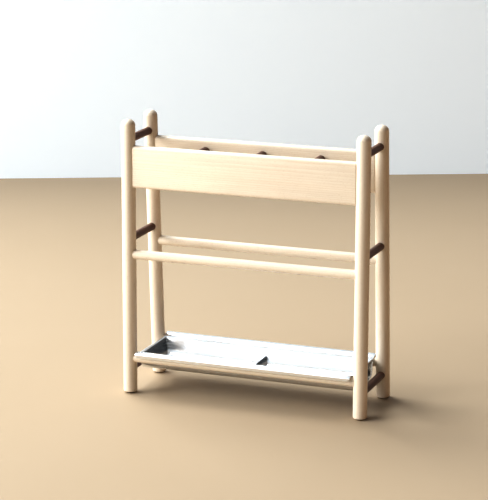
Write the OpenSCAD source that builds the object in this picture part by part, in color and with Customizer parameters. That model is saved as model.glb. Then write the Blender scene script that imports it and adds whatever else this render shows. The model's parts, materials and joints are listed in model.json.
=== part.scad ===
/* [Frame] */
// Overall height of the stand
stand_h = 500; // [440:10:560]
// Distance between the left and right post axes
post_span = 438.5; // [400:0.5:480]
// Distance between the front and back post axes at the floor
foot_span = 128.5; // [124:0.5:132]
// Distance between the front and back post axes at the post tops
top_span = 94.5; // [90:0.5:100]
// Diameter of a post
post_d = 25; // [24:0.5:28]
// Thickness of the pad under each post
pad_h = 2; // [1:0.5:3]
// Diameter of the pad under each post
pad_d = 14; // [12:1:18]
// Radius on the foot of a post
foot_round = 3; // [1:0.5:4]
// Height of the dome on top of a post
dome_h = 11; // [8:0.5:12.5]

/* [Boards] */
// Height of a board, measured along the post
board_h = 75; // [60:1:85]
// Thickness of a board
board_t = 16; // [14:0.5:18]
// Height of the board centres above the floor
board_z = 415.5; // [400:0.5:420]
// Radius on the long edges of a board
board_edge_r = 5.5; // [3:0.5:6.5]

/* [Rails and bars] */
// Diameter of the light rails that run left to right
rail_d = 17; // [15:0.5:18]
// Height of the middle rail axes
rail_mid_z = 256.5; // [230:0.5:260]
// Height of the lower rail axes
rail_low_z = 65.8; // [64:0.1:68]
// Diameter of the dark bars that run front to back
bar_d = 14; // [12:0.5:15]
// Height of the top bar axes
bar_top_z = 463; // [458:1:475]
// Height of the middle bar axes
bar_mid_z = 284; // [276:1:300]
// Height of the lower bar axes
bar_low_z = 45; // [30:1:46]
// Diameter of the dark dividers between the boards
divider_d = 16; // [12:0.5:16]
// Height of the divider axes
divider_z = 431.5; // [410:0.5:436]

/* [Tray] */
// Length of the tray, end to end of its lips
tray_l = 408; // [380:1:409]
// Thickness of the tray sheet
sheet_t = 1.2; // [0.8:0.1:1.5]
// Height of the underside of the tray floor
tray_floor_z = 40.5; // [38:0.5:46]
// Radius of the bend from the tray floor to its wall
tray_bend_r = 17.5; // [10:0.5:20]
// Slope of the tray's long walls away from vertical
tray_wall_slope = 15; // [10:1:20]
// Slope of the tray's end plates away from vertical
tray_end_slope = 15; // [5:1:20]
// Height of the top edge of the end plates
end_top_z = 74; // [72:0.5:74.5]
// Height of the ridge of the partition
partition_top_z = 58.5; // [50:0.5:64]
// Slope of the partition's two flanks away from vertical
partition_slope = 22; // [12:1:25]

/* [Hidden] */
$fn = 96;

LEFT = -1;
RIGHT = 1;
FRONT = -1;
BACK = 1;

light_wood = "#EDD6AE";
dark_wood = "#4A2F28";
pad_felt = "#3A302B";
steel = "#D5DADF";

// Posts lean towards each other, front to back
lean = atan((foot_span - top_span) / 2 / stand_h);
post_r = post_d / 2;
post_axis_l = stand_h / cos(lean);
foot_l = pad_h / cos(lean);

rail_r = rail_d / 2;
bar_r = bar_d / 2;
divider_r = divider_d / 2;
pad_r = pad_d / 2;

// How far each piece goes into the piece that holds it
rail_seat = 10;
bar_seat = 9;
divider_seat = 8;
pin_d = 8;
pin_reach = 9;
pin_offset = 20;

// Clearance between the tray and the rails that it hangs on
tray_gap = 0.3;
hug_r = rail_r + tray_gap + sheet_t / 2;
hug_end = 135;
lip_rise_r = 20;
lip_bend_r = 5;
lip_edge_z = 69;
lip_corner_r = 4;
end_inset = 3.2;
end_top_x = tray_l / 2 - end_inset - sheet_t;
flange_w = 4;
arc_steps = 12;

// Depth position of the front or back post axes at a height
function axis_y(z, row) = row * (foot_span / 2 - z * tan(lean));

// Points on an arc, from angle a0 to angle a1
function arc(centre, r, a0, a1) = [
    for (i = [0 : arc_steps])
        let (a = a0 + (a1 - a0) * i / arc_steps)
        [centre[0] + r * cos(a), centre[1] + r * sin(a)]
];

// Centres of the tray section's arcs: [depth, height] on the back half
rail_axis = [axis_y(rail_low_z, BACK), rail_low_z];
wall_top = rail_axis + hug_r * [-cos(tray_wall_slope), sin(tray_wall_slope)];
bend_z = tray_floor_z + sheet_t / 2 + tray_bend_r;
wall_run = (wall_top[1] + tray_bend_r * sin(tray_wall_slope) - bend_z) / cos(tray_wall_slope);
bend_y = wall_top[0] - wall_run * sin(tray_wall_slope) - tray_bend_r * cos(tray_wall_slope);
bend_centre = [bend_y, bend_z];
rise_centre = rail_axis + (lip_rise_r - hug_r) * [-cos(hug_end), -sin(hug_end)];
lip_centre = [rise_centre[0], rise_centre[1] + lip_rise_r - lip_bend_r];

// Sheet on the back half, floor to crest, moved off by a distance to its upper side
function wall_line(off) = concat(
    arc(bend_centre, tray_bend_r - off, -90, -tray_wall_slope),
    arc(rail_axis, hug_r + off, 180 - tray_wall_slope, hug_end),
    arc(rise_centre, lip_rise_r + off, hug_end, 90)
);

// The same sheet carried on over the lip to its free edge
function sheet_line(off) = concat(
    wall_line(off),
    arc(lip_centre, lip_bend_r + off, 90, 0),
    [[lip_centre[0] + lip_bend_r + off, lip_edge_z]]
);

function reversed(list) = [for (i = [len(list) - 1 : -1 : 0]) list[i]];

// A back half line joined to its mirror image, front end first
function both_halves(line) = concat(
    reversed([for (p = line) [-p[0], p[1]]]),
    line
);

// Cylinder along X between two X values
module x_rod(r, y, z, x0, x1) {
    translate([x0, y, z])
        rotate([0, 90, 0])
            cylinder(r = r, h = x1 - x0);
}

// Cylinder along Y between two Y values
module y_rod(r, x, z, y0, y1) {
    translate([x, y0, z])
        rotate([-90, 0, 0])
            cylinder(r = r, h = y1 - y0);
}

// Frame of a post: z runs up the leaning axis
module on_axis(side, row) {
    translate([side * post_span / 2, row * foot_span / 2, 0])
        rotate([row * lean, 0, 0])
            children();
}

module rail_rod(row, z) {
    reach = post_span / 2 - post_r + rail_seat;
    x_rod(rail_r, axis_y(z, row), z, -reach, reach);
}

module bar_rod(side, z) {
    reach = axis_y(z, BACK) - post_r + bar_seat;
    y_rod(bar_r, side * post_span / 2, z, -reach, reach);
}

module divider_rod(place) {
    reach = axis_y(divider_z, BACK) - board_t / 2 + divider_seat;
    y_rod(divider_r, place * post_span / 4, divider_z, -reach, reach);
}

// One pin through a board end into a post, above or below the board centre
module board_pin(side, row, level) {
    z = board_z + level * pin_offset;
    joint_x = post_span / 2 - post_r;
    x0 = joint_x - 2 * pin_reach;
    x1 = joint_x + pin_reach;
    x_rod(pin_d / 2, axis_y(z, row), z, side > 0 ? x0 : -x1, side > 0 ? x1 : -x0);
}

module board_pins(row) {
    for (side = [LEFT, RIGHT])
        for (level = [-1, 1])
            board_pin(side, row, level);
}

// Turned post: rounded foot, straight side, domed top
module post_blank() {
    shoulder = post_axis_l - dome_h;
    foot = arc([post_r - foot_round, foot_l + foot_round], foot_round, -90, 0);
    dome = [
        for (i = [0 : arc_steps])
            let (a = 90 * i / arc_steps)
            [post_r * cos(a), shoulder + dome_h * sin(a)]
    ];
    rotate_extrude()
        polygon(concat([[0, foot_l]], foot, dome));
}

module post(side, row) {
    difference() {
        on_axis(side, row)
            post_blank();
        for (z = [rail_low_z, rail_mid_z])
            rail_rod(row, z);
        for (z = [bar_low_z, bar_mid_z, bar_top_z])
            bar_rod(side, z);
        for (level = [-1, 1])
            board_pin(side, row, level);
    }
}

// Board section: a rectangle with round corners
module board_section() {
    half_t = board_t / 2 - board_edge_r;
    half_h = board_h / 2 - board_edge_r;
    square([board_t, 2 * half_h], center = true);
    square([2 * half_t, board_h], center = true);
    for (i = [-1, 1])
        for (j = [-1, 1])
            translate([i * half_t, j * half_h])
                circle(r = board_edge_r);
}

module board(row) {
    difference() {
        translate([0, axis_y(board_z, row), board_z])
            rotate([row * lean, 0, 0])
                rotate([90, 0, 90])
                    linear_extrude(height = post_span, center = true)
                        board_section();
        for (side = [LEFT, RIGHT])
            on_axis(side, row)
                translate([0, 0, board_z - board_h])
                    cylinder(r = post_r, h = 2 * board_h);
        for (place = [-1, 0, 1])
            divider_rod(place);
        board_pins(row);
    }
}

// Pad: follows the post at its top and is flat on the floor
module foot_pad(side, row) {
    difference() {
        on_axis(side, row)
            translate([0, 0, -foot_l])
                cylinder(r = pad_r, h = 2 * foot_l);
        translate([side * post_span / 2, row * foot_span / 2, -pad_d])
            cube(2 * pad_d, center = true);
    }
}

// Stands a [depth, height] outline up across the tray, from x0 to x1
module across_tray(x0, x1) {
    translate([x0, 0, 0])
        rotate([90, 0, 90])
            linear_extrude(height = x1 - x0)
                children();
}

module sheet_section() {
    polygon(concat(
        both_halves(sheet_line(sheet_t / 2)),
        reversed(both_halves(sheet_line(-sheet_t / 2)))
    ));
}

// Space inside the trough, between two heights
module trough_inside(z0, z1) {
    crest_y = rise_centre[0];
    intersection() {
        polygon(both_halves(wall_line(sheet_t / 2)));
        translate([-crest_y, z0])
            square([2 * crest_y, z1 - z0]);
    }
}

// What a rounded lip corner loses, at one end of one lip
module lip_corner_cut(side, row) {
    x_in = tray_l / 2 - lip_corner_r;
    z_in = lip_edge_z + lip_corner_r;
    lip_y = lip_centre[0] + lip_bend_r;
    translate([0, row * lip_y + 1.5 * sheet_t, 0])
        rotate([90, 0, 0])
            linear_extrude(height = 3 * sheet_t)
                difference() {
                    translate([side > 0 ? x_in : -x_in - 2 * lip_corner_r, z_in - 2 * lip_corner_r])
                        square([2 * lip_corner_r, 2 * lip_corner_r]);
                    translate([side * x_in, z_in])
                        circle(r = lip_corner_r);
                }
}

module trough() {
    difference() {
        across_tray(-tray_l / 2, tray_l / 2)
            sheet_section();
        for (side = [LEFT, RIGHT])
            for (row = [FRONT, BACK])
                lip_corner_cut(side, row);
    }
}

// Fills the trough's inside, up to a height, where an [along, height] outline covers it
module inside_trough(top_z) {
    depth = foot_span;
    intersection() {
        translate([0, depth / 2, 0])
            rotate([90, 0, 0])
                linear_extrude(height = depth)
                    children();
        across_tray(-tray_l / 2, tray_l / 2)
            trough_inside(tray_floor_z, top_z);
    }
}

// End plate: slopes inwards from its flange down to the floor
module tray_end(side) {
    under_z = end_top_z - sheet_t;
    run = tan(tray_end_slope);
    plate_w = sheet_t / cos(tray_end_slope);
    foot_x = end_top_x - end_top_z * run;
    outline = [
        [foot_x, 0],
        [end_top_x, end_top_z],
        [end_top_x + flange_w, end_top_z],
        [end_top_x + flange_w, under_z],
        [end_top_x - sheet_t * run + plate_w, under_z],
        [foot_x + plate_w, 0]
    ];
    inside_trough(end_top_z)
        polygon([for (p = outline) [side * p[0], p[1]]]);
}

// Partition: a strip folded into a ridge, open below
module ridge() {
    run = tan(partition_slope);
    flank_w = sheet_t / cos(partition_slope);
    foot_x = partition_top_z * run;
    inside_trough(partition_top_z)
        polygon([
            [-foot_x, 0],
            [0, partition_top_z],
            [foot_x, 0],
            [foot_x - flank_w, 0],
            [0, partition_top_z - flank_w / run],
            [flank_w - foot_x, 0]
        ]);
}

module post_front_left() { color(light_wood) post(LEFT, FRONT); }
module post_front_right() { color(light_wood) post(RIGHT, FRONT); }
module post_back_left() { color(light_wood) post(LEFT, BACK); }
module post_back_right() { color(light_wood) post(RIGHT, BACK); }
module board_front() { color(light_wood) board(FRONT); }
module board_back() { color(light_wood) board(BACK); }
module rail_mid_front() { color(light_wood) rail_rod(FRONT, rail_mid_z); }
module rail_mid_back() { color(light_wood) rail_rod(BACK, rail_mid_z); }
module rail_low_front() { color(light_wood) rail_rod(FRONT, rail_low_z); }
module rail_low_back() { color(light_wood) rail_rod(BACK, rail_low_z); }
module bar_top_left() { color(dark_wood) bar_rod(LEFT, bar_top_z); }
module bar_top_right() { color(dark_wood) bar_rod(RIGHT, bar_top_z); }
module bar_mid_left() { color(dark_wood) bar_rod(LEFT, bar_mid_z); }
module bar_mid_right() { color(dark_wood) bar_rod(RIGHT, bar_mid_z); }
module bar_low_left() { color(dark_wood) bar_rod(LEFT, bar_low_z); }
module bar_low_right() { color(dark_wood) bar_rod(RIGHT, bar_low_z); }
module divider_left() { color(dark_wood) divider_rod(-1); }
module divider_centre() { color(dark_wood) divider_rod(0); }
module divider_right() { color(dark_wood) divider_rod(1); }
module pins_board_front() { color(light_wood) board_pins(FRONT); }
module pins_board_back() { color(light_wood) board_pins(BACK); }
module pad_front_left() { color(pad_felt) foot_pad(LEFT, FRONT); }
module pad_front_right() { color(pad_felt) foot_pad(RIGHT, FRONT); }
module pad_back_left() { color(pad_felt) foot_pad(LEFT, BACK); }
module pad_back_right() { color(pad_felt) foot_pad(RIGHT, BACK); }
module tray_trough() { color(steel) trough(); }
module tray_end_left() { color(steel) tray_end(LEFT); }
module tray_end_right() { color(steel) tray_end(RIGHT); }
module tray_partition() { color(steel) ridge(); }

post_front_left();
post_front_right();
post_back_left();
post_back_right();
board_front();
board_back();
rail_mid_front();
rail_mid_back();
rail_low_front();
rail_low_back();
bar_top_left();
bar_top_right();
bar_mid_left();
bar_mid_right();
bar_low_left();
bar_low_right();
divider_left();
divider_centre();
divider_right();
pins_board_front();
pins_board_back();
pad_front_left();
pad_front_right();
pad_back_left();
pad_back_right();
tray_trough();
tray_end_left();
tray_end_right();
tray_partition();
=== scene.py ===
import json
import math
import random

import bmesh
import bpy
from mathutils import Matrix, Vector, noise


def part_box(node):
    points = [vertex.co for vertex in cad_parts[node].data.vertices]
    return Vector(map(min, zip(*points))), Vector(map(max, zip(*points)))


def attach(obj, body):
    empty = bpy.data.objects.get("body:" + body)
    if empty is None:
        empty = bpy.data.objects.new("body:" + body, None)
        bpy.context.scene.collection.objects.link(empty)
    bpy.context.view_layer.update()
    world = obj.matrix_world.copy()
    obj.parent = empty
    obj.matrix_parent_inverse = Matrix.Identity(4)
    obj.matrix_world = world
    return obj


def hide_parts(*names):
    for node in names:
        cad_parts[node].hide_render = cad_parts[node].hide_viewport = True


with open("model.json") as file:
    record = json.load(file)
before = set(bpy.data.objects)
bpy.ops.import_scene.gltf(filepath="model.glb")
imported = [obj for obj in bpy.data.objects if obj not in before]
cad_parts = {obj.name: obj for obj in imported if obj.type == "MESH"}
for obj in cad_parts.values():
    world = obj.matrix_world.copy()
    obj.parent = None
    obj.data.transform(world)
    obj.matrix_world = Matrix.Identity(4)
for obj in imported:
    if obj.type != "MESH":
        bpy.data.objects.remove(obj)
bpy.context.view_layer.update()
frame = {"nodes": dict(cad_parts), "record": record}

MM = 0.001

# Camera: where the photographer stood, seen from the middle of the stand's footprint
CAMERA_AZIMUTH = 22.0
CAMERA_ELEVATION = 14.49
CAMERA_DISTANCE = 3.755
CAMERA_ROLL = -0.57
CAMERA_AIM = Vector((-0.0207, 0.0, 0.2672))
CAMERA_LENS = 152.3

# Turned wood
TURNED_SEGMENTS = 96
ARC_STEPS = 16
PAD_H = 2 * MM
FOOT_ROUND = 3 * MM
DOME_H = 11 * MM
ROD_CHAMFER = 0.8 * MM
JOINT_LINE = 0.12 * MM
SHARP_ANGLE = 30

# Log that each wooden piece is cut from: distance from its pith, and place along it
PITH_NEAR = 35
PITH_FAR = 90
LOG_LENGTH = 2

# Boards
BOARD_T = 16 * MM
BOARD_H = 75 * MM
BOARD_EDGE_R = 5.5 * MM
BOARD_END_R = 3.2 * MM
BOARD_END_STEPS = 6

# Pads
PAD_EDGE_STEPS = 6
PAD_EDGE_R = 0.5 * MM
PAD_INTO_POST = 0.3 * MM

# Tray
SHEET_T = 1.2 * MM
TRAY_GAP = 0.3 * MM
TRAY_BEND_R = 17.5 * MM
TRAY_WALL_SLOPE = 15
HUG_END = 135
LIP_RISE_R = 20 * MM
LIP_BEND_R = 5 * MM
LIP_EDGE_Z = 69 * MM
LIP_CORNER_R = 4 * MM
END_SLOPE = 15
FLANGE_W = 4 * MM
FLANGE_BEND_R = 1.8 * MM
RIDGE_BEND_R = 0.8 * MM
WELD_IN = 0.2 * MM
SHEET_EDGE_R = 0.25 * MM
SHEET_EDGE_ANGLE = 60
SHEET_EDGE_SEGMENTS = 2
SHEET_SHARP_ANGLE = 40
TROUGH_COLUMNS = 48
PLATE_COLUMNS = 24
PLATE_ROWS = 32
FLANGE_STEPS = 6
RIDGE_STEPS = 8
DENT = 0.03 * MM
DENT_SCALE = 14

BOXES = {name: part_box(name) for name in frame["nodes"]}


def middle(node):
    low, high = BOXES[node]
    return (low + high) / 2


def extent(node):
    low, high = BOXES[node]
    return high - low


FEET = {m["name"].removeprefix("foot_"): Vector(m["pos_m"]) for m in frame["record"]["mounts"]}
SLOTS = {s["node"]: s["material_slot"] for s in frame["record"]["subparts"]}
POST_R = extent("post_front_left").x / 2
POST_TOP = BOXES["post_front_left"][1].z
PAD_R = extent("pad_front_left").x / 2
LEAN = math.atan2(
    (extent("bar_low_left").y - extent("bar_top_left").y) / 2,
    middle("bar_top_left").z - middle("bar_low_left").z,
)
RODS = [n for n in frame["nodes"] if n.startswith(("rail", "bar", "divider"))]


def arc(centre, radius, start, end, steps=ARC_STEPS):
    """Points on an arc between two angles in degrees, as (across, up) pairs."""
    turns = [math.radians(start + (end - start) * i / steps) for i in range(steps + 1)]
    return [(centre[0] + radius * math.cos(t), centre[1] + radius * math.sin(t)) for t in turns]


# Shapes


def add_piece(name, shape):
    """Turns a bmesh into an object, with its faces pointing outwards."""
    bmesh.ops.recalc_face_normals(shape, faces=shape.faces)
    mesh = bpy.data.meshes.new(name)
    shape.to_mesh(mesh)
    shape.free()
    piece = bpy.data.objects.new(name, mesh)
    bpy.context.scene.collection.objects.link(piece)
    return piece


def apply_modifiers(piece):
    graph = bpy.context.evaluated_depsgraph_get()
    mesh = bpy.data.meshes.new_from_object(piece.evaluated_get(graph))
    piece.modifiers.clear()
    piece.data = mesh


def cut(piece, tools):
    """Takes tools, a bmesh of shapes that don't touch each other, out of a piece."""
    cutter = add_piece("cutter", tools)
    modifier = piece.modifiers.new("cut", "BOOLEAN")
    modifier.object = cutter
    modifier.solver = "EXACT"
    apply_modifiers(piece)
    bpy.data.objects.remove(cutter)


def smooth(piece, sharp_angle=SHARP_ANGLE):
    piece.data.shade_smooth()
    piece.data.set_sharp_from_angle(angle=math.radians(sharp_angle))


def add_turned(shape, profile, place):
    """Adds a closed form turned round local Z; its profile of (radius, z) ends on the axis."""
    rings = []
    for radius, z in profile[1:-1]:
        turns = [2 * math.pi * i / TURNED_SEGMENTS for i in range(TURNED_SEGMENTS)]
        points = [Vector((radius * math.cos(t), radius * math.sin(t), z)) for t in turns]
        rings.append([shape.verts.new(place @ p) for p in points])
    ends = [shape.verts.new(place @ Vector((0, 0, profile[i][1]))) for i in (0, -1)]
    for i in range(TURNED_SEGMENTS):
        j = (i + 1) % TURNED_SEGMENTS
        shape.faces.new((ends[0], rings[0][i], rings[0][j]))
        shape.faces.new((ends[1], rings[-1][j], rings[-1][i]))
        for lower, upper in zip(rings, rings[1:]):
            shape.faces.new((lower[i], upper[i], upper[j], lower[j]))


def mark_grain(piece, place):
    """Stores where each point lay in the log: z along the grain, the pith on the z axis."""
    luck = random.Random(piece.name)
    pith = Matrix.Rotation(luck.uniform(0, 2 * math.pi), 4, "Z")
    start = Vector((luck.uniform(PITH_NEAR, PITH_FAR) * MM, 0, luck.uniform(0, LOG_LENGTH)))
    into_log = Matrix.Translation(start) @ pith @ place.inverted()
    grain = piece.data.attributes.new("grain", "FLOAT_VECTOR", "POINT")
    for vertex, value in zip(piece.data.vertices, grain.data):
        value.vector = into_log @ vertex.co


def stand_for(piece, node, body, material):
    """Puts a finished piece in the CAD node's place."""
    piece.data.materials.clear()
    piece.data.materials.append(material)
    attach(piece, body)
    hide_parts(node)


def post_place(corner):
    foot = FEET[corner]
    return Matrix.Translation(foot) @ Matrix.Rotation(math.copysign(LEAN, foot.y), 4, "X")


def post_profile(radius, foot_z, top_z):
    foot = arc((radius - FOOT_ROUND, foot_z + FOOT_ROUND), FOOT_ROUND, -90, 0)
    dome = [
        (radius * math.cos(t), top_z - DOME_H + DOME_H * math.sin(t))
        for t in [math.pi / 2 * i / ARC_STEPS for i in range(ARC_STEPS + 1)]
    ]
    return [(0, foot_z)] + foot + dome


def rod_place(node):
    """The rod's middle, with local Z turned along its longest side."""
    size = extent(node)
    if size.x > size.y:
        turn = Matrix.Rotation(math.pi / 2, 4, "Y")
    else:
        turn = Matrix.Rotation(-math.pi / 2, 4, "X")
    return Matrix.Translation(middle(node)) @ turn


def rod_profile(node, proud=0.0):
    """A chamfered rod; proud makes it that much fatter and longer, for cutting its bore."""
    size = extent(node)
    radius = size.z / 2 + proud
    half = max(size.x, size.y) / 2 + proud
    chamfer = ROD_CHAMFER if proud == 0 else 0
    side = [(radius - chamfer, -half), (radius, chamfer - half)]
    return [(0, -half)] + side + [(r, -z) for r, z in reversed(side)] + [(0, half)]


def near(node, corner):
    """True if a rod ends in the post at this corner."""
    low, high = BOXES[node]
    foot = FEET[corner]
    inner_x = foot.x - math.copysign(POST_R, foot.x)
    inside_x = low.x < foot.x < high.x or low.x < inner_x < high.x
    same_row = low.y * foot.y >= 0 and high.y * foot.y >= 0
    front_to_back = low.y < 0 < high.y
    return inside_x and (same_row or front_to_back) and not node.startswith("divider")


def make_post(corner, material):
    node = "post_" + corner
    place = post_place(corner)
    shape = bmesh.new()
    profile = post_profile(POST_R, PAD_H / math.cos(LEAN), POST_TOP / math.cos(LEAN))
    add_turned(shape, profile, place)
    piece = add_piece(node + "_turned", shape)
    bores = bmesh.new()
    for rod in RODS:
        if near(rod, corner):
            add_turned(bores, rod_profile(rod, JOINT_LINE), rod_place(rod))
    cut(piece, bores)
    smooth(piece)
    mark_grain(piece, place)
    stand_for(piece, node, "stand", material)


def make_rod(node, material):
    place = rod_place(node)
    shape = bmesh.new()
    add_turned(shape, rod_profile(node), place)
    piece = add_piece(node + "_turned", shape)
    smooth(piece)
    mark_grain(piece, place)
    stand_for(piece, node, "stand", material)


def board_outline(inset):
    """A board's section: round corners, drawn in by the inset."""
    radius = BOARD_EDGE_R - inset
    half_t = BOARD_T / 2 - BOARD_EDGE_R
    half_h = BOARD_H / 2 - BOARD_EDGE_R
    corners = [
        (half_h, half_t, 0),
        (-half_h, half_t, 90),
        (-half_h, -half_t, 180),
        (half_h, -half_t, 270),
    ]
    return [p for x, y, start in corners for p in arc((x, y), radius, start, start + 90)]


def add_board_blank(shape, place, half_l):
    """A board blank along local Z, with its section drawn in near both ends."""
    face_x = math.sqrt(POST_R ** 2 - (BOARD_T / 2) ** 2)
    start = half_l - face_x
    turns = [math.pi / 2 * i / BOARD_END_STEPS for i in range(BOARD_END_STEPS + 1)]
    near_end = [
        (start - BOARD_END_R * (1 - math.sin(t)), BOARD_END_R * (1 - math.cos(t)))
        for t in turns
    ]
    stations = near_end + [(half_l, BOARD_END_R)]
    stations = [(-z, inset) for z, inset in reversed(stations)] + stations
    rings = []
    for z, inset in stations:
        rings.append([shape.verts.new(place @ Vector((x, y, z))) for x, y in board_outline(inset)])
    count = len(rings[0])
    for lower, upper in zip(rings, rings[1:]):
        for i in range(count):
            j = (i + 1) % count
            shape.faces.new((lower[i], lower[j], upper[j], upper[i]))
    shape.faces.new(rings[0])
    shape.faces.new(rings[-1])


def make_board(row, material):
    node = "board_" + row
    centre = middle(node)
    lean = Matrix.Rotation(math.copysign(LEAN, centre.y), 4, "X")
    along = Matrix.Rotation(math.pi / 2, 4, "Y")
    place = Matrix.Translation(centre) @ lean @ along
    shape = bmesh.new()
    add_board_blank(shape, place, FEET[row + "_right"].x)
    piece = add_piece(node + "_planed", shape)
    tools = bmesh.new()
    radius = POST_R + JOINT_LINE
    post = [(0, 0), (radius, 0), (radius, POST_TOP), (0, POST_TOP)]
    for side in ("left", "right"):
        add_turned(tools, post, post_place(row + "_" + side))
    for rod in RODS:
        if rod.startswith("divider"):
            add_turned(tools, rod_profile(rod, JOINT_LINE), rod_place(rod))
    cut(piece, tools)
    smooth(piece)
    mark_grain(piece, place)
    stand_for(piece, node, "stand", material)


def make_pad(corner, material):
    node = "pad_" + corner
    place = Matrix.Translation(FEET[corner])
    shape = bmesh.new()
    edge = arc((PAD_R - PAD_EDGE_R, PAD_EDGE_R), PAD_EDGE_R, -90, 0, PAD_EDGE_STEPS)
    top = PAD_H + PAD_INTO_POST
    add_turned(shape, [(0, 0)] + edge + [(PAD_R, top), (0, top)], place)
    piece = add_piece(node + "_disc", shape)
    smooth(piece)
    stand_for(piece, node, "stand", material)


# Tray


def tray_section():
    """The sheet's middle line on the back half as (y, z), from the floor's middle to the lip."""
    rail = middle("rail_low_back")
    hug_r = extent("rail_low_back").z / 2 + TRAY_GAP + SHEET_T / 2
    slope = math.radians(TRAY_WALL_SLOPE)
    hug = math.radians(HUG_END)
    floor_z = BOXES["tray_trough"][0].z + SHEET_T / 2
    wall_top = (rail.y - hug_r * math.cos(slope), rail.z + hug_r * math.sin(slope))
    bend_z = floor_z + TRAY_BEND_R
    run = (wall_top[1] + TRAY_BEND_R * math.sin(slope) - bend_z) / math.cos(slope)
    bend_y = wall_top[0] - run * math.sin(slope) - TRAY_BEND_R * math.cos(slope)
    rise = LIP_RISE_R - hug_r
    rise_centre = (rail.y - rise * math.cos(hug), rail.z - rise * math.sin(hug))
    lip_centre = (rise_centre[0], rise_centre[1] + LIP_RISE_R - LIP_BEND_R)
    line = [(0.0, floor_z)]
    line += [(bend_y * i / ARC_STEPS, floor_z) for i in range(1, ARC_STEPS)]
    line += arc((bend_y, bend_z), TRAY_BEND_R, -90, -TRAY_WALL_SLOPE)
    line += arc((rail.y, rail.z), hug_r, 180 - TRAY_WALL_SLOPE, HUG_END)
    line += arc(rise_centre, LIP_RISE_R, HUG_END, 90)[1:]
    line += arc(lip_centre, LIP_BEND_R, 90, 0)[1:]
    edge_y = lip_centre[0] + LIP_BEND_R
    last = line[-1][1]
    line += [(edge_y, last + (LIP_EDGE_Z - last) * i / ARC_STEPS) for i in range(1, ARC_STEPS + 1)]
    return line


def normals(line):
    """Unit normals of a line, on its upper, inner side."""
    made = []
    for i in range(len(line)):
        before = line[max(i - 1, 0)]
        after = line[min(i + 1, len(line) - 1)]
        tangent = Vector((after[0] - before[0], after[1] - before[1])).normalized()
        made.append(Vector((-tangent[1], tangent[0])))
    return made


def sheet_piece(name, upper, lower):
    """A sheet between two grids of points, with its rim closed and its edges eased."""
    shape = bmesh.new()
    faces = [[[shape.verts.new(p) for p in row] for row in grid] for grid in (upper, lower)]
    rows, columns = len(upper), len(upper[0])
    for grid in faces:
        for i in range(rows - 1):
            for j in range(columns - 1):
                shape.faces.new((grid[i][j], grid[i][j + 1], grid[i + 1][j + 1], grid[i + 1][j]))
    rim = [(0, j) for j in range(columns)]
    rim += [(i, columns - 1) for i in range(1, rows)]
    rim += [(rows - 1, j) for j in range(columns - 2, -1, -1)]
    rim += [(i, 0) for i in range(rows - 2, 0, -1)]
    for (i, j), (k, m) in zip(rim, rim[1:] + rim[:1]):
        shape.faces.new((faces[0][i][j], faces[0][k][m], faces[1][k][m], faces[1][i][j]))
    piece = add_piece(name, shape)
    bevel = piece.modifiers.new("eased", "BEVEL")
    bevel.width = SHEET_EDGE_R
    bevel.segments = SHEET_EDGE_SEGMENTS
    bevel.limit_method = "ANGLE"
    bevel.angle_limit = math.radians(SHEET_EDGE_ANGLE)
    apply_modifiers(piece)
    smooth(piece, SHEET_SHARP_ANGLE)
    return piece


def dent(x, y):
    """How far the sheet strays from true, as rolled sheet does."""
    return DENT * noise.noise(Vector((x, y, 0)) * DENT_SCALE)


def distances_to_end(line):
    """How far each point of a line is from its end, along the line."""
    from_end = [0.0]
    for a, b in zip(reversed(line), list(reversed(line))[1:]):
        from_end.append(from_end[-1] + math.dist(a, b))
    from_end.reverse()
    return from_end


def make_trough(material):
    half_l = BOXES["tray_trough"][1].x
    line = tray_section()
    across = normals(line)
    from_edge = distances_to_end(line)
    upper, lower = [], []
    for half in (-1, 1):
        order = range(len(line) - 1, -1, -1) if half < 0 else range(1, len(line))
        for i in order:
            y, z = line[i]
            gap = max(LIP_CORNER_R - from_edge[i], 0)
            inset = LIP_CORNER_R - math.sqrt(LIP_CORNER_R ** 2 - gap ** 2)
            row_up, row_down = [], []
            for c in range(TROUGH_COLUMNS + 1):
                share = c / TROUGH_COLUMNS
                x = (half_l - inset) * (2 * share - 1)
                stray = dent(x, half * y) * (z < LIP_EDGE_Z)
                for row, side in ((row_up, 1), (row_down, -1)):
                    off = across[i] * (side * SHEET_T / 2)
                    row.append(Vector((x, half * (y + off[0]), z + off[1] + stray)))
            upper.append(row_up)
            lower.append(row_down)
    piece = sheet_piece("tray_trough_folded", upper, lower)
    stand_for(piece, "tray_trough", "tray", material)


def inner_face():
    """The trough's inner face on the back half as (y, z), from its floor up to the crest."""
    line = tray_section()
    face = [
        (y + n[0] * SHEET_T / 2, z + n[1] * SHEET_T / 2)
        for (y, z), n in zip(line, normals(line))
    ]
    crest = max(range(len(face)), key=lambda i: face[i][1])
    return face[:crest + 1]


def half_width(face, z):
    """Half of the trough's inner width at a height."""
    for (y0, z0), (y1, z1) in zip(face, face[1:]):
        if z0 <= z <= z1 and z1 > z0:
            return y0 + (y1 - y0) * (z - z0) / (z1 - z0)
    return next(y for y, up in reversed(face) if up <= face[0][1])


def plate_rows(profile):
    """Grids for a sheet that follows an (x, z) line, and whose width follows the trough."""
    face = inner_face()
    grids = []
    for side in (1, -1):
        rows = []
        for (x, z), n in zip(profile, normals(profile)):
            off = n * (side * SHEET_T / 2)
            half = half_width(face, z + off[1]) + WELD_IN
            shares = [2 * c / PLATE_COLUMNS - 1 for c in range(PLATE_COLUMNS + 1)]
            rows.append([Vector((x + off[0], half * t, z + off[1])) for t in shares])
        grids.append(rows)
    return grids


def rising(foot, top):
    """Points on a straight line, closest together at its foot, where the trough is most curved."""
    shares = [(i / PLATE_ROWS) ** 2 for i in range(PLATE_ROWS + 1)]
    return [(foot[0] + (top[0] - foot[0]) * t, foot[1] + (top[1] - foot[1]) * t) for t in shares]


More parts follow.
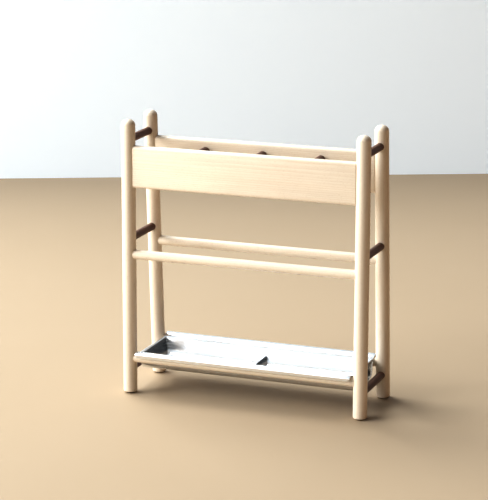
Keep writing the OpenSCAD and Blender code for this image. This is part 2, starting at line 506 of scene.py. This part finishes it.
def make_tray_end(side, material):
    """An end plate that slopes inwards from its flange to the floor."""
    node = "tray_end_" + side
    low, high = BOXES[node]
    out = 1 if side == "right" else -1
    outer_x = max(abs(low.x), abs(high.x))
    run = math.tan(math.radians(END_SLOPE))
    middle_x = outer_x - FLANGE_W + SHEET_T / 2 / math.cos(math.radians(END_SLOPE))
    flange_z = high.z - SHEET_T / 2
    bend = arc((0, flange_z - FLANGE_BEND_R), FLANGE_BEND_R, 180 - END_SLOPE, 90, FLANGE_STEPS)
    top = (middle_x - (high.z - bend[0][1]) * run, bend[0][1])
    foot_z = low.z - WELD_IN
    profile = rising((middle_x - (high.z - foot_z) * run, foot_z), top)
    profile += [(top[0] + x - bend[0][0], z) for x, z in bend[1:]]
    profile.append((outer_x, flange_z))
    upper, lower = plate_rows([(out * x, z) for x, z in profile])
    piece = sheet_piece(node + "_folded", upper, lower)
    stand_for(piece, node, "tray", material)


def make_partition(material):
    """A strip folded into a ridge across the tray."""
    low, high = BOXES["tray_partition"]
    outer_r = RIDGE_BEND_R + SHEET_T / 2
    centre_z = high.z - outer_r
    rise = centre_z - low.z
    slope = math.atan2(high.x, rise) - math.asin(outer_r / math.hypot(high.x, rise))
    turn = math.degrees(slope)
    bend = arc((0, centre_z), RIDGE_BEND_R, 180 - turn, turn, RIDGE_STEPS)
    foot_z = low.z - WELD_IN
    foot_x = bend[0][0] - (bend[0][1] - foot_z) * math.tan(slope)
    flank = rising((foot_x, foot_z), bend[0])
    profile = flank + bend[1:-1] + [(-x, z) for x, z in reversed(flank)]
    upper, lower = plate_rows(profile)
    piece = sheet_piece("tray_partition_folded", upper, lower)
    stand_for(piece, "tray_partition", "tray", material)


# Materials

# Sockets of a Mix node, which are told apart by number
MIX_SHARE = 0
COLOUR_A, COLOUR_B, COLOUR_OUT = 6, 7, 2
FLOAT_A, FLOAT_B, FLOAT_OUT = 2, 3, 0


def connect(tree, node, inputs):
    """Fills a node's inputs; each is a value or another node's output."""
    for key, value in inputs.items():
        if isinstance(value, bpy.types.NodeSocket):
            tree.links.new(value, node.inputs[key])
        else:
            node.inputs[key].default_value = value


def add_node(tree, kind, inputs=None, **settings):
    made = tree.nodes.new("ShaderNode" + kind)
    for key, value in settings.items():
        setattr(made, key, value)
    connect(tree, made, inputs or {})
    return made


def mix(tree, share, a, b):
    inputs = {MIX_SHARE: share, COLOUR_A: a, COLOUR_B: b}
    return add_node(tree, "Mix", inputs, data_type="RGBA").outputs[COLOUR_OUT]


def choose(tree, share, a, b):
    """The number a, or b where the share is 1."""
    inputs = {MIX_SHARE: share, FLOAT_A: a, FLOAT_B: b}
    return add_node(tree, "Mix", inputs, data_type="FLOAT").outputs[FLOAT_OUT]


def combine(tree, operation, a, b):
    return add_node(tree, "Math", {0: a, 1: b}, operation=operation).outputs["Value"]


def bumped(tree, height, strength, distance):
    inputs = {"Height": height, "Strength": strength, "Distance": distance}
    return add_node(tree, "Bump", inputs).outputs["Normal"]


def ramp(tree, value, low, high, to_low=0.0, to_high=1.0):
    inputs = {
        "Value": value,
        "From Min": low,
        "From Max": high,
        "To Min": to_low,
        "To Max": to_high,
    }
    return add_node(tree, "MapRange", inputs).outputs["Result"]


def own_place(tree):
    return add_node(tree, "TexCoord").outputs["Object"]


def along_x(tree, place):
    """Turns a place so that what is drawn out along Z runs along the object's X."""
    inputs = {"Vector": place, "Rotation": (0, math.pi / 2, 0)}
    return add_node(tree, "Mapping", inputs).outputs["Vector"]


def stretched_noise(tree, place, scale, stretch, detail=4.0, roughness=0.6):
    """Noise drawn out along Z, as grain is."""
    drawn_out = {"Vector": place, "Scale": (1, 1, stretch)}
    vector = add_node(tree, "Mapping", drawn_out).outputs["Vector"]
    inputs = {"Vector": vector, "Scale": scale, "Detail": detail, "Roughness": roughness}
    return add_node(tree, "TexNoise", inputs).outputs["Fac"]


def new_material(name):
    material = bpy.data.materials.new(name)
    material.use_nodes = True
    tree = material.node_tree
    return material, tree, tree.nodes["Principled BSDF"]


# A wave texture of scale 1 turns through this many radians in each unit of length
WAVE_PER_SCALE = 20
RING_STRETCH = 0.05


def wood(name, pale, mid, dark, pore, ring_gap, ring_share, pore_share, rough, coat):
    """Lacquered wood with growth rings, fibres and short pores, all drawn out along the grain."""
    material, tree, shader = new_material(name)
    grain = add_node(tree, "Attribute", attribute_name="grain").outputs["Vector"]
    stretch = {"Vector": grain, "Scale": (1, 1, RING_STRETCH)}
    ring_inputs = {
        "Vector": add_node(tree, "Mapping", stretch).outputs["Vector"],
        "Scale": 2 * math.pi / (WAVE_PER_SCALE * ring_gap),
        "Distortion": 3.0,
        "Detail": 2.0,
        "Detail Scale": 0.6,
    }
    rings = add_node(
        tree, "TexWave", ring_inputs, wave_type="RINGS", rings_direction="Z", wave_profile="SAW"
    ).outputs["Fac"]
    streaks = stretched_noise(tree, grain, 220, 0.02, 6.0)
    fibres = stretched_noise(tree, grain, 1500, 0.02, 3.0)
    pores = ramp(tree, stretched_noise(tree, grain, 1500, 0.17, 1.0), 0.63, 0.71)
    patches = stretched_noise(tree, grain, 14, 0.25, 2.0)
    colour = mix(tree, ramp(tree, streaks, 0.3, 0.7), pale, mid)
    colour = mix(tree, ramp(tree, rings, 0.2, 1.0, 0.0, ring_share), colour, dark)
    colour = mix(tree, ramp(tree, fibres, 0.35, 0.75, 0.0, ring_share), colour, dark)
    colour = mix(tree, ramp(tree, pores, 0.0, 1.0, 0.0, pore_share), colour, pore)
    varied = {"Color": colour, "Value": ramp(tree, patches, 0.3, 0.7, 0.93, 1.05)}
    colour = add_node(tree, "HueSaturation", varied).outputs["Color"]
    height = combine(tree, "SUBTRACT", fibres, pores)
    connect(tree, shader, {
        "Base Color": colour,
        "Roughness": ramp(tree, streaks, 0.3, 0.7, rough - 0.05, rough + 0.06),
        "Normal": bumped(tree, height, 0.2, 0.1 * MM),
        "Coat Weight": coat,
        "Coat Roughness": 0.28,
    })
    return material


def light_wood():
    return wood(
        "light_wood",
        pale=(0.855, 0.765, 0.64, 1),
        mid=(0.815, 0.705, 0.57, 1),
        dark=(0.66, 0.51, 0.36, 1),
        pore=(0.46, 0.31, 0.18, 1),
        ring_gap=2.4 * MM,
        ring_share=0.27,
        pore_share=0.30,
        rough=0.46,
        coat=0.2,
    )


def dark_wood():
    return wood(
        "dark_wood",
        pale=(0.185, 0.086, 0.052, 1),
        mid=(0.130, 0.057, 0.035, 1),
        dark=(0.058, 0.024, 0.016, 1),
        pore=(0.018, 0.010, 0.008, 1),
        ring_gap=2.8 * MM,
        ring_share=0.45,
        pore_share=0.6,
        rough=0.52,
        coat=0.04,
    )


def pin_wood():
    """Bare wood of the hidden pins, whose grain runs along X."""
    material, tree, shader = new_material("pin_wood")
    pale, dark = (0.72, 0.56, 0.37, 1), (0.60, 0.43, 0.27, 1)
    fibres = stretched_noise(tree, along_x(tree, own_place(tree)), 1200, 0.03, 3.0)
    connect(tree, shader, {
        "Base Color": mix(tree, ramp(tree, fibres, 0.3, 0.7), pale, dark),
        "Roughness": ramp(tree, fibres, 0.3, 0.7, 0.6, 0.75),
        "Normal": bumped(tree, fibres, 0.3, 0.1 * MM),
    })
    return material


def steel():
    """Satin sheet with faint rolling lines along X, light smudges and fine scratches."""
    material, tree, shader = new_material("steel")
    clean, smudged = (0.83, 0.85, 0.87, 1), (0.78, 0.80, 0.825, 1)
    place = own_place(tree)
    turned = along_x(tree, place)
    lines = stretched_noise(tree, turned, 1800, 0.006, 3.0)
    smudges = stretched_noise(tree, place, 22, 1.0, 5.0)
    marks = ramp(tree, stretched_noise(tree, turned, 900, 0.03, 1.0), 0.70, 0.74)
    rough = ramp(tree, smudges, 0.35, 0.75, 0.20, 0.26)
    rough = combine(tree, "ADD", rough, ramp(tree, lines, 0.3, 0.8, 0.0, 0.05))
    rough = combine(tree, "ADD", rough, ramp(tree, marks, 0, 1, 0, 0.12))
    height = combine(tree, "SUBTRACT", lines, marks)
    connect(tree, shader, {
        "Base Color": mix(tree, ramp(tree, smudges, 0.35, 0.7), clean, smudged),
        "Metallic": 1.0,
        "Roughness": rough,
        "Normal": bumped(tree, height, 0.04, 0.03 * MM),
    })
    return material


def pad_rubber():
    material, tree, shader = new_material("pad")
    clean, dusty = (0.035, 0.028, 0.024, 1), (0.09, 0.075, 0.06, 1)
    place = own_place(tree)
    grit = stretched_noise(tree, place, 2600, 1.0, 3.0)
    dust = stretched_noise(tree, place, 300, 1.0, 3.0)
    connect(tree, shader, {
        "Base Color": mix(tree, ramp(tree, dust, 0.4, 0.75), clean, dusty),
        "Roughness": ramp(tree, grit, 0.3, 0.7, 0.75, 0.95),
        "Normal": bumped(tree, grit, 0.4, 0.15 * MM),
    })
    return material


# Stage, light and camera


def direction(azimuth, elevation):
    """Unit vector from the stand; azimuth 0 points along -Y and 90 along +X."""
    az = math.radians(azimuth)
    el = math.radians(elevation)
    return Vector((math.sin(az) * math.cos(el), -math.cos(az) * math.cos(el), math.sin(el)))


def make_camera():
    back = direction(CAMERA_AZIMUTH, CAMERA_ELEVATION)
    right = direction(CAMERA_AZIMUTH + 90, 0)
    up = back.cross(right)
    roll = math.radians(CAMERA_ROLL)
    right, up = (
        right * math.cos(roll) + up * math.sin(roll),
        up * math.cos(roll) - right * math.sin(roll),
    )
    data = bpy.data.cameras.new("camera")
    data.lens = CAMERA_LENS
    data.clip_end = 50.0
    camera = bpy.data.objects.new("camera", data)
    turn = Matrix((right, up, back)).transposed().to_4x4()
    camera.matrix_world = Matrix.Translation(CAMERA_AIM + back * CAMERA_DISTANCE) @ turn
    bpy.context.scene.collection.objects.link(camera)
    bpy.context.scene.camera = camera


FLOOR_HALF = 9.0
WALL_DISTANCE = 1.82
WALL_H = 1.6

# The middle of the room's bright side, in degrees, and how bright its dark side is
WINDOW_SIDE = -80
WINDOW_HEIGHT = 45
ROOM_DIM = 0.012


def stage_mesh(name, corners, material):
    mesh = bpy.data.meshes.new(name)
    mesh.from_pydata(corners, [], [(0, 1, 2, 3)])
    mesh.materials.append(material)
    piece = bpy.data.objects.new(name, mesh)
    bpy.context.scene.collection.objects.link(piece)
    return piece


def floor_material():
    material, tree, shader = new_material("floor")
    dark, pale = (0.44, 0.342, 0.238, 1), (0.47, 0.369, 0.262, 1)
    cloud = stretched_noise(tree, own_place(tree), 1.5, 1.0, 3.0)
    connect(tree, shader, {
        "Base Color": mix(tree, cloud, dark, pale),
        "Roughness": 0.55,
        "Specular IOR Level": 0.12,
    })
    return material


def wall_material():
    """A pale, faintly glowing wall that shows only its front, so views from behind it are clear."""
    material, tree, shader = new_material("wall")
    connect(tree, shader, {
        "Base Color": (0.84, 0.91, 0.97, 1),
        "Roughness": 0.9,
        "Emission Color": (0.86, 0.94, 1.0, 1),
        "Emission Strength": 0.08,
    })
    clear = add_node(tree, "BsdfTransparent").outputs["BSDF"]
    behind = add_node(tree, "NewGeometry").outputs["Backfacing"]
    both = add_node(tree, "MixShader", {0: behind, 1: shader.outputs["BSDF"], 2: clear})
    tree.links.new(both.outputs[0], tree.nodes["Material Output"].inputs["Surface"])
    return material


def make_stage():
    half = FLOOR_HALF
    corners = [(-half, -half, 0), (half, -half, 0), (half, half, 0), (-half, half, 0)]
    stage_mesh("floor", corners, floor_material())
    foot = direction(CAMERA_AZIMUTH + 180, 0) * WALL_DISTANCE
    right = direction(CAMERA_AZIMUTH + 90, 0) * half
    top = Vector((0, 0, WALL_H))
    wall = [foot - right, foot + right, foot + right + top, foot - right + top]
    backdrop = stage_mesh("wall", wall, wall_material())
    backdrop.visible_diffuse = False


def soft_box(name, azimuth, elevation, distance, width, height, power, tint):
    """A rectangular light that faces the stand."""
    data = bpy.data.lights.new(name, "AREA")
    data.shape = "RECTANGLE"
    data.size = width
    data.size_y = height
    data.energy = power
    data.color = tint
    light = bpy.data.objects.new(name, data)
    away = direction(azimuth, elevation)
    aim = middle("rail_mid_front")
    light.location = aim + away * distance
    light.rotation_euler = away.to_track_quat("Z", "Y").to_euler()
    light.visible_camera = False
    bpy.context.scene.collection.objects.link(light)
    return light


def make_lights():
    soft_box(
        "window", azimuth=-62, elevation=21, distance=5.5,
        width=3.7, height=3.1, power=465, tint=(0.93, 0.97, 1.0),
    )
    soft_box(
        "skylight", azimuth=-112, elevation=52, distance=5.2,
        width=2.9, height=2.9, power=360, tint=(0.91, 0.965, 1.0),
    )
    soft_box(
        "card", azimuth=-17, elevation=4, distance=3.7,
        width=3.8, height=2.2, power=42, tint=(1.0, 0.975, 0.94),
    )
    bounce = soft_box(
        "bounce", azimuth=100, elevation=6, distance=3.6,
        width=2.0, height=1.2, power=12, tint=(1.0, 0.42, 0.10),
    )
    bounce.visible_glossy = False


def make_world():
    """Dim light, fading from the window side to the dark side, and brighter in reflections."""
    world = bpy.data.worlds.new("studio")
    world.use_nodes = True
    tree = world.node_tree
    toward = add_node(tree, "TexCoord").outputs["Generated"]
    inputs = {0: toward, 1: direction(WINDOW_SIDE, WINDOW_HEIGHT)}
    facing = add_node(tree, "VectorMath", inputs, operation="DOT_PRODUCT").outputs["Value"]
    strength = ramp(tree, facing, 0.3, 0.85, ROOM_DIM, 0.95)
    reflected = ramp(tree, facing, 0.3, 0.6, ROOM_DIM, 1.25)
    ray = add_node(tree, "LightPath").outputs
    strength = choose(tree, ray["Is Glossy Ray"], strength, reflected)
    strength = choose(tree, ray["Is Camera Ray"], strength, 1.0)
    background = tree.nodes["Background"]
    background.inputs["Color"].default_value = (0.86, 0.91, 0.95, 1)
    tree.links.new(strength, background.inputs["Strength"])
    bpy.context.scene.world = world


def make_stand():
    pale = light_wood()
    walnut = dark_wood()
    rubber = pad_rubber()
    for corner in FEET:
        make_post(corner, pale)
        make_pad(corner, rubber)
    for row in ("front", "back"):
        make_board(row, pale)
    for rod in RODS:
        make_rod(rod, pale if SLOTS[rod] == "light_wood" else walnut)
    pins = pin_wood()
    for name in ("pins_board_front", "pins_board_back"):
        frame["nodes"][name].data.materials.clear()
        frame["nodes"][name].data.materials.append(pins)


def make_tray():
    sheet = steel()
    make_trough(sheet)
    for side in ("left", "right"):
        make_tray_end(side, sheet)
    make_partition(sheet)


make_camera()
make_stand()
make_tray()
make_stage()
make_lights()
make_world()
bpy.context.scene.view_settings.view_transform = "Standard"
bpy.context.scene.view_settings.gamma = 0.75
